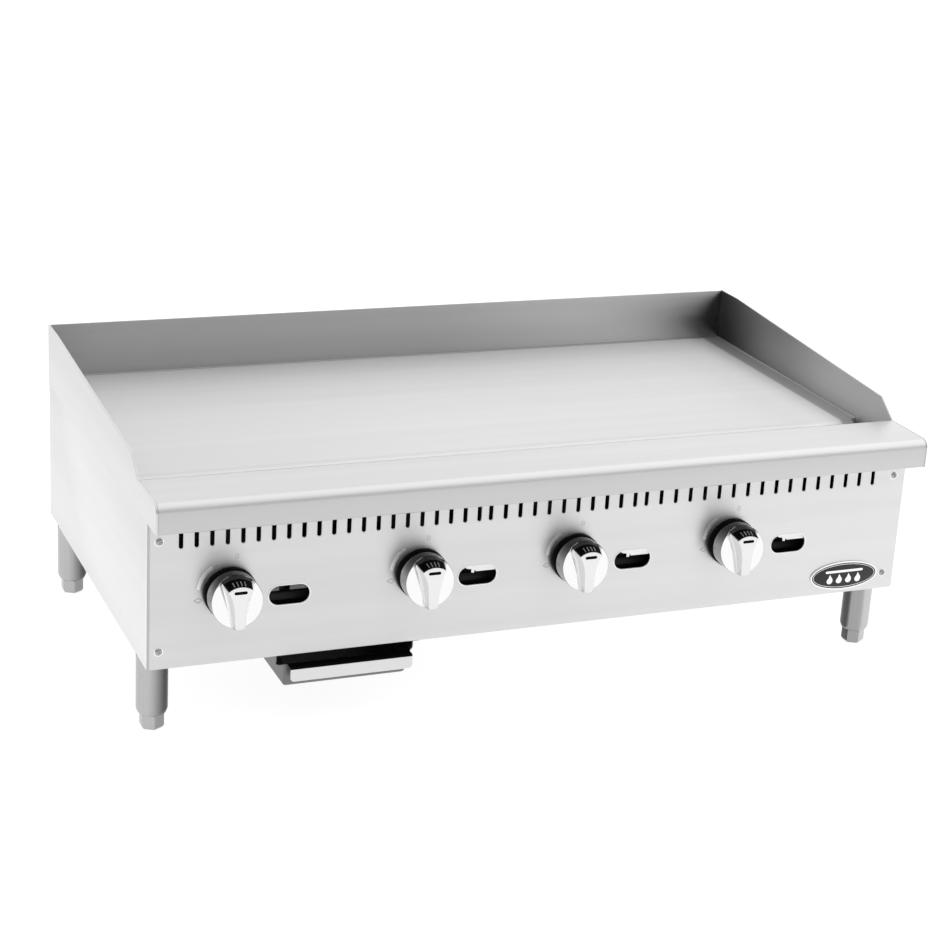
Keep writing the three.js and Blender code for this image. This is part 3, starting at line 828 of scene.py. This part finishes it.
def make_knobs():
    """Each knob: a black skirt, a plated cap with a grip bar cut out of it, and the cap's black marks."""
    for n, centre in enumerate(knob_centres, 1):
        low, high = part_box(f"knob_{n}")
        skirt_radius = (high.x - low.x) / 2
        radius = skirt_radius - 1 * MM
        full = high.y - low.y
        place = forward_of(centre.x, centre.z, high.y)
        bm = bmesh.new()
        turned(bm, [(0, 0.5 * MM), (radius, 0.5 * MM), (skirt_radius, 1.5 * MM),
                    (skirt_radius, SKIRT_DEPTH - 1.5 * MM), (radius, SKIRT_DEPTH), (0, SKIRT_DEPTH)],
               place, 72)
        piece(f"knob_{n}_skirt", bm, BLACK, f"control_{n}")

        bm = bmesh.new()
        start = SKIRT_DEPTH + 0.1 * MM
        turned(bm, [(0, start), (radius, start), (radius, full - 6 * MM), (radius - 1 * MM, full - 2 * MM),
                    (radius - 3 * MM, full), (0, full)], place, 96)
        cap = piece(f"knob_{n}_cap", bm, CHROME, f"control_{n}", replaces=[f"knob_{n}"])
        cut_grip(cap, place, full)
        shade_cap(cap, centre, radius, low, high)
        mark_crown(n, place, full)


# ---------- marks, badge and screws

PRINTED = (panel_face - 0.12 * MM, panel_face + 0.1 * MM)      # how far out and in a printed mark goes


def slab(bm, points, near, far):
    """A flat solid across Y with an outline in x and z."""
    rings = loft(bm, [[PLANES["Y"](a, b, y) for a, b in anticlockwise(points)] for y in (far, near)])
    bm.faces.new(rings[0])
    bm.faces.new(rings[1])


def band(bm, outer, inner, near, far):
    """A flat closed band across Y, between two outlines in x and z that have as many points."""
    rings = loft(bm, [[PLANES["Y"](a, b, y) for a, b in line]
                      for line, y in ((outer, far), (outer, near), (inner, near), (inner, far))])
    first, last = rings[0], rings[-1]
    for i in range(len(first)):
        bm.faces.new((last[i - 1], last[i], first[i], first[i - 1]))


def oval(x, z, half_width, half_height, steps):
    return [(x + half_width * a, z + half_height * b) for a, b in arc(0, 0, 1, 0, 360, steps)[:-1]]


def make_panel_marks():
    """Round each knob: 0 above it, a crescent from high to low at its upper left, a flame at its left."""
    line = 0.7 * MM
    grey_marks = bmesh.new()
    white_marks = bmesh.new()
    for centre in knob_centres:
        x, z = centre.x, centre.z
        zero = (x + 10 * MM, z + 52.5 * MM)
        band(grey_marks, oval(*zero, 2.6 * MM, 3.6 * MM, 28),
             oval(*zero, 2.6 * MM - line, 3.6 * MM - line, 28), *PRINTED)

        start, end, steps = 122, 172, 16
        shift_x, shift_z = x - 2.6 * MM, z + 1.8 * MM
        inner = arc(x, z, 43.5 * MM, end, start, steps)
        outer = arc(shift_x, shift_z, 46.0 * MM, start, end, steps)
        rim = arc(shift_x, shift_z, 46.8 * MM, start, end, steps)
        slab(white_marks, inner + outer, *PRINTED)
        slab(grey_marks, outer[::-1] + rim, *PRINTED)

        left, level = x - 45 * MM, z - 9.5 * MM
        flame = [(-7, 0), (0, 4.5), (6.5, 0.5), (0, -4)]
        drawn = [[(left + a * size * MM, level + b * size * MM) for a, b in flame] for size in (1, 0.72)]
        band(grey_marks, *drawn, *PRINTED)
    piece("panel_marks", grey_marks, PRINT)
    piece("panel_scale_marks", white_marks, WHITE_PRINT)


def sight_slot(centre):
    """The corners of the widest opening in the control panel that is centred on a pilot."""
    boxes = [box_of(hole) for hole in outlines("control_panel", "Y", panel_face)[1:]]
    centred = [box for box in boxes if abs((box[0][0] + box[1][0]) / 2 - centre) <= 2 * MM]
    return max(centred, key=lambda box: box[1][0] - box[0][0])


def make_sight_rims():
    """The raised lips of the sight slots, half round outside and closed behind the panel's face."""
    gap = 0.1 * MM
    half_width = 0.9 * MM
    height = 0.55 * MM
    behind = panel_face + 0.3 * MM
    for n, centre in enumerate(sight_centres, 1):
        points = anticlockwise(thinned(stadium(*sight_slot(centre), 14)))
        levels = [(gap + half_width * (1 + a), panel_face - height * b)
                  for a, b in arc(0, 0, 1, 180, 0, 8)]
        levels += [(gap + 2 * half_width, behind), (gap, behind)]
        bm = bmesh.new()
        made = loft(bm, [[Vector((a, y, b)) for a, b in grown(points, outwards)] for outwards, y in levels])
        for i in range(len(points)):
            bm.faces.new((made[-1][i - 1], made[-1][i], made[0][i], made[0][i - 1]))
        piece(f"sight_rim_{n}", bm, LIP, crease=60)


def make_sight_brackets():
    """The pilot brackets that show through the sight slots, with a notch for the pilot's tube."""
    low, top = 214.5 * MM, 224.5 * MM
    thickness = 1.2 * MM
    edge = 0.2 * MM
    notch = [(-14, 4.5), (-9.5, 4), (-9, -1.5), (-5, -2), (-3.5, 3), (-2, 0)]
    for n, centre in enumerate(sight_centres, 1):
        right = centre + 34 * MM
        bm = bmesh.new()
        if n == 1:
            # This one is sooty and lies deeper, in two separate bars.
            near, steel = panel_face + 5 * MM, SOOTY
            left = centre + 2 * MM
            outline = [(right, low), (right, top), (left, top), (left, low)]
            box_into(bm, (centre - 40 * MM, near, low), (centre - 14 * MM, near + thickness, top), edge)
        else:
            near, steel = panel_face + 2.3 * MM, BRACKET
            left = centre - 18 * MM
            outline = [(right, low), (right, top), (left, top), (left, low + 6 * MM)]
            outline += [(centre + a * MM, low + b * MM) for a, b in notch]
        sheet(bm, outline, [], "Y", near, near + thickness, edge)
        piece(f"sight_bracket_{n}", bm, steel)


def make_badge():
    """The oval badge: a dark plate, a light rim and inner line, and a generic motif, flames under a plate."""
    low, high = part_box("badge_plate")
    x, z = (low.x + high.x) / 2, (low.z + high.z) / 2
    half_width, half_height = (high.x - low.x) / 2, (high.z - low.z) / 2

    def rim(margin):
        return oval(x, z, half_width - margin, half_height - margin, 64)

    plate = prism(PLANES["Y"], [(rim(0.2 * MM), high.y), (rim(0), high.y - 0.4 * MM),
                                (rim(0.3 * MM), low.y + 0.6 * MM), (rim(1.2 * MM), low.y + 0.3 * MM)])
    piece("badge_enamel_plate", plate, BADGE, replaces=["badge_plate"])

    near = low.y + 0.1 * MM
    for name, outer, inner, front, back in (
            ("badge_rim", -1.6 * MM, 0.6 * MM, low.y, high.y),
            ("badge_inner_line", 2.6 * MM, 3.4 * MM, near, low.y + 0.5 * MM)):
        bm = bmesh.new()
        band(bm, rim(outer), rim(inner), front, back)
        piece(name, bm, LIGHT_TRIM)

    bm = bmesh.new()
    far = low.y + 0.6 * MM
    slab(bm, stadium((x - 34 * MM, z + 5.5 * MM), (x + 34 * MM, z + 9.5 * MM), 6), near, far)
    flame = [(0, 8.5), (2.2, 4.5), (5.2, 0), (5.4, -4.5), (3.4, -8), (0, -9.2), (-3.4, -8), (-5.4, -4.5),
             (-4.2, -0.5), (-2.2, 2.0), (-1.4, 4.8)]
    spacing = 17 * MM
    for place in (-1.5, -0.5, 0.5, 1.5):
        slab(bm, [(x + place * spacing + a * MM, z - 4.5 * MM + b * 0.9 * MM) for a, b in flame], near, far)
    piece("badge_motif", bm, LIGHT_TRIM)


def make_screws():
    """The control panel's domed screws, each with a cross recess and a light ring under it, which is a
    painted highlight.
    """
    shank = 2.2 * MM
    length = 9 * MM
    rise = 0.3 * MM
    for n in range(1, 5):
        low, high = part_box(f"panel_screw_{n}")
        x, z = (low.x + high.x) / 2, (low.z + high.z) / 2
        radius = (high.x - low.x) / 2 + 0.8 * MM
        head = panel_face - low.y
        place = forward_of(x, z, panel_face)
        dome = [(radius * a, head * b) for a, b in arc(0, 0, 1, 20, 80, 6)]
        bm = bmesh.new()
        turned(bm, [(0, -length), (shank, -length), (shank, rise), (radius, rise)] + dome + [(0, head)],
               place, 32)
        screw = piece(f"panel_screw_{n}_head", bm, SCREW, replaces=[f"panel_screw_{n}"], crease=50)
        # A light ring round each head: a painted highlight.
        bm = bmesh.new()
        highlight_ring = radius + 1.3 * MM
        turned(bm, [(0, -0.2 * MM), (highlight_ring, -0.2 * MM), (highlight_ring, 0.1 * MM), (highlight_ring - 0.3 * MM, rise), (0, rise)],
               place, 32)
        piece(f"panel_screw_{n}_seat", bm, LIGHT_TRIM)
        for along, across in ((2.6 * MM, 0.55 * MM), (0.55 * MM, 2.6 * MM)):
            bar = [(-along, -across), (along, -across), (along, across), (-along, across)]
            take_away(screw, prism(place, [(bar, head - 1.4 * MM), (bar, head + 1 * MM)]))


# ---------- legs, drawer and inlet

def make_leg(n):
    """A leg tube, tapered in at its foot and bored for the thread of its adjustable foot."""
    low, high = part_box(f"leg_{n}")
    bore = 8.3 * MM
    depth = 66 * MM
    radius = (high.x - low.x) / 2
    neck = radius - 3 * MM
    taper = [(neck, low.z), (neck + 0.6 * MM, low.z + 0.8 * MM), (radius - 0.7 * MM, low.z + 5 * MM),
             (radius, low.z + 8 * MM)]
    bm = bmesh.new()
    turned(bm, [(0, low.z + depth), (bore, low.z + depth), (bore, low.z)] + taper
           + [(radius, high.z), (0, high.z)], above((low.x + high.x) / 2, (low.y + high.y) / 2), 64)
    piece(f"leg_{n}_tube", bm, LEG, replaces=[f"leg_{n}"], crease=40)


def make_foot(n):
    """An adjustable foot: a hexagon that stands on the counter, and a thread that goes up the leg."""
    low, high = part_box(f"foot_{n}")
    leg_low, leg_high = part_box(f"leg_{n}")
    x, y = (leg_low.x + leg_high.x) / 2, (leg_low.y + leg_high.y) / 2
    body = f"adjustable_foot_{n}"
    wide, deep = high.x - low.x, high.y - low.y
    corner_radius, first_corner = (deep / 2, 90) if deep > wide else (wide / 2, 0)
    hexagon = arc(x, y, corner_radius, first_corner, first_corner + 360, 6)[:-1]
    top = leg_low.z - 0.5 * MM
    sections = [(grown(hexagon, -3 * MM), 0), (grown(hexagon, -2 * MM), 1 * MM), (hexagon, 4 * MM),
                (hexagon, top - 1 * MM), (grown(hexagon, -1 * MM), top)]
    foot = piece(f"foot_{n}_hexagon", prism(PLANES["Z"], sections), FOOT, body, replaces=[f"foot_{n}"])
    ease_edges(foot, 0.8 * MM, crease=35, angle=25)
    turns, pitch = 35, 1.8 * MM
    thread = [(8 * MM if i % 2 else 7.2 * MM, top - 0.5 * MM + i * pitch / 2) for i in range(2 * turns)]
    bm = bmesh.new()
    turned(bm, [(0, thread[0][1])] + thread + [(0, thread[-1][1])], above(x, y), 24)
    piece(f"foot_{n}_thread", bm, SCREW, body)


def rounded_rectangle(x0, x1, y0, y1, radius, steps=5):
    return (arc(x1 - radius, y1 - radius, radius, 0, 90, steps)
            + arc(x0 + radius, y1 - radius, radius, 90, 180, steps)
            + arc(x0 + radius, y0 + radius, radius, 180, 270, steps)
            + arc(x1 - radius, y0 + radius, radius, 270, 360, steps))


DRAWER_WALL = 1.5 * MM
DRAWER_FLANGE = 9 * MM
DRAWER_LIP_REACH = 15 * MM       # from the tray to the face of the drawer's front


def make_drawer_tray():
    """The grease drawer's pressed tray, with a flange along each side; its steel and its inside are painted
    dark, as painted shade.
    """
    low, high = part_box("grease_drawer")
    wall = DRAWER_WALL
    radius = 2.5 * MM
    floor, rim = low.z, high.z

    def outline(margin, corner, flange=DRAWER_FLANGE):
        return rounded_rectangle(low.x + flange + margin, high.x - flange - margin,
                                 low.y + DRAWER_LIP_REACH + margin, high.y - margin, corner)

    outer = [(outline(2 * MM, radius), floor), (outline(0, radius), floor + 2.5 * MM),
             (outline(0, radius), rim - wall), (outline(0, radius, 0), rim - wall),
             (outline(0, radius, 0), rim)]
    inner = [(outline(wall, radius - wall), rim), (outline(wall, radius - wall), floor + 3 * MM),
             (outline(4 * MM, radius - wall), floor + wall)]
    tray = piece("grease_drawer_tray", prism(PLANES["Z"], outer + inner), TRAY, "drawer",
                 replaces=["grease_drawer"], crease=30)
    # The inner faces get the black pipe material: painted shade inside the drawer.
    tray.data.materials.append(PIPE)
    centre = (low + high) / 2
    for face in tray.data.polygons:
        shaded_inside = floor + wall / 2 < face.center.z < rim - wall / 2 or face.normal.z > 0.5
        if shaded_inside and face.normal.dot(centre - face.center) > 0:
            face.material_index = 1


def make_drawer_front():
    """The drawer's front: a plate with a hem along its foot, and the fold that joins it to the tray."""
    low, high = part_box("grease_drawer")
    rim = high.z
    shift = 6 * MM                   # the front stands this much to the right of the tray
    left, right = low.x + DRAWER_FLANGE + shift, high.x - DRAWER_FLANGE + shift
    foot = rim - 22 * MM
    corner = 6 * MM
    bend = 3 * MM
    front = (arc(left + corner, foot + corner, corner, 180, 270, 6)
             + arc(right - corner, foot + corner, corner, 270, 360, 6)
             + [(right, rim - bend), (left, rim - bend)])
    bm = bmesh.new()
    sheet(bm, front, [], "Y", low.y, low.y + DRAWER_WALL, 0.3 * MM)
    hem = 1.1 * MM
    bead = arc(low.y + hem + 0.2 * MM, foot + hem, hem, 0, 360, 10)[:-1]
    sheet(bm, bead, [], "X", left + corner, right - corner, 0.2 * MM)
    piece("grease_drawer_lip", bm, DRAWER, "drawer", crease=30)

    rear = low.y + DRAWER_LIP_REACH + 1 * MM
    fold = (arc(low.y + bend, rim - bend, bend, 90, 180, 5)
            + arc(low.y + bend, rim - bend, bend - DRAWER_WALL, 180, 90, 5))
    bm = bmesh.new()
    sheet(bm, [(rear, rim)] + fold + [(rear, rim - DRAWER_WALL)], [], "X", left, right, 0.1 * MM)
    # The fold is black: painted shade, where the control panel shadows it.
    piece("grease_drawer_fold", bm, BLACK, "drawer", crease=30)


def make_runners():
    """The drawer's runners: a web with a rounded front corner, a flange on top and a ledge at its foot."""
    thickness = 1.5 * MM
    width = 9 * MM
    corner = 11 * MM
    edge = 0.2 * MM
    for side, inwards in (("left", 1), ("right", -1)):
        low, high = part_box(f"drawer_runner_{side}")
        outer = low.x if inwards > 0 else high.x
        web = [outer + inwards * width, outer + inwards * (width + thickness)]
        outline = [(high.y, low.z), (high.y, high.z), (low.y, high.z)]
        outline += arc(low.y + corner, low.z + corner, corner, 180, 270, 8)
        bm = bmesh.new()
        sheet(bm, outline, [], "X", *sorted(web), edge)
        flange = (sorted((outer, web[0])), high.z - thickness, low.y)
        ledge = (sorted((web[1], web[0] + inwards * width)), low.z, low.y + corner)
        for (left, right), level, front in (flange, ledge):
            box_into(bm, (left, front, level), (right, high.y, level + thickness), edge)
        piece(f"drawer_runner_{side}_angle", bm, TRAY, replaces=[f"drawer_runner_{side}"])


def make_inlet():
    """The gas pipe's threaded end."""
    low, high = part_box("gas_manifold")
    pipe_radius = 13 * MM
    bore = 9.5 * MM
    turns, pitch = 12, 1.8 * MM
    place = forward_of(high.x - 17 * MM, (low.z + high.z) / 2, high.y)
    thread = [(pipe_radius + (0.7 * MM if i % 2 else 0.05 * MM), -0.3 * MM + i * pitch / 2)
              for i in range(2 * turns)]
    bm = bmesh.new()
    turned(bm, [(bore, thread[0][1])] + thread + [(bore, thread[-1][1]), (bore, thread[0][1])], place, 40)
    piece("gas_inlet_thread", bm, PIPE, crease=20)
    bm = bmesh.new()
    turned(bm, [(0, -0.25 * MM), (bore, -0.25 * MM), (bore, 1 * MM), (0, 1 * MM)], place, 40)
    piece("gas_inlet_bore", bm, BLACK)


# ---------- studio

def make_floor():
    """A wide white floor that glows a little, so that it shows no edge against the sky."""
    size = 40.0
    bpy.ops.mesh.primitive_plane_add(size=size)
    floor = bpy.context.object
    floor.name = "studio_floor"
    material, tree, shader = start_material("studio_floor", Roughness=0.9)
    tone = stretched_noise(tree, (3, 3, 3), 1.0)
    tree.links.new(shaded(tree, tone, 0.28, 0.30), shader.inputs["Base Color"])
    shader.inputs["Emission Color"].default_value = (1, 1, 1, 1)
    shader.inputs["Emission Strength"].default_value = 0.88
    floor.data.materials.append(material)


def make_sky():
    """A soft white dome over the top and the rear, dim low down and in front of the griddle."""
    world = bpy.data.worlds.new("studio")
    bpy.context.scene.world = world
    world.use_nodes = True
    tree = world.node_tree
    background = tree.nodes["Background"]
    place = node(tree, "ShaderNodeTexCoord").outputs["Generated"]
    towards = Vector((0.6, 0.5, 0.85)).normalized()
    rise = node(tree, "ShaderNodeVectorMath", {0: place, 1: towards}, operation="DOT_PRODUCT")
    dome = eased(tree, rise.outputs["Value"], 0.05, 0.5, 0.5, 1.2)
    seen = node(tree, "ShaderNodeLightPath").outputs["Is Camera Ray"]
    level = node(tree, "ShaderNodeMix", {"Factor": seen, "A": dome, "B": 1.0}, data_type="FLOAT")
    tree.links.new(level.outputs["Result"], background.inputs["Strength"])
    background.inputs["Color"].default_value = (1, 1, 1, 1)


def make_camera():
    """The photograph's viewpoint: from the front left, above, with a long lens and a slight roll."""
    yaw = math.radians(24.13)
    pitch = math.radians(19.45)
    roll = math.radians(3.67)
    place = Vector((-1.3098, -3.0722, 1.4306))
    ahead = Vector((math.sin(yaw) * math.cos(pitch), math.cos(yaw) * math.cos(pitch), -math.sin(pitch)))
    level = Vector((math.cos(yaw), -math.sin(yaw), 0))
    upright = level.cross(ahead)
    right = level * math.cos(roll) + upright * math.sin(roll)
    up = upright * math.cos(roll) - level * math.sin(roll)
    data = bpy.data.cameras.new("camera")
    data.sensor_width = 36
    data.lens = 83.78
    data.shift_x = -0.0373
    data.clip_end = 100
    camera = bpy.data.objects.new("camera", data)
    bpy.context.scene.collection.objects.link(camera)
    turn = Matrix((right, up, -ahead)).transposed().to_4x4()
    camera.matrix_world = Matrix.Translation(place) @ turn
    bpy.context.scene.camera = camera
    bpy.context.scene.view_settings.view_transform = "Standard"


dress_cad_nodes()
make_sheets()
make_rail()
make_control_panel()
make_plate()
make_weld()
make_knobs()
make_panel_marks()
make_sight_rims()
make_sight_brackets()
make_badge()
make_screws()
for n in range(1, 5):
    make_leg(n)
    make_foot(n)
make_drawer_tray()
make_drawer_front()
make_runners()
make_inlet()
make_floor()
make_sky()
make_camera()
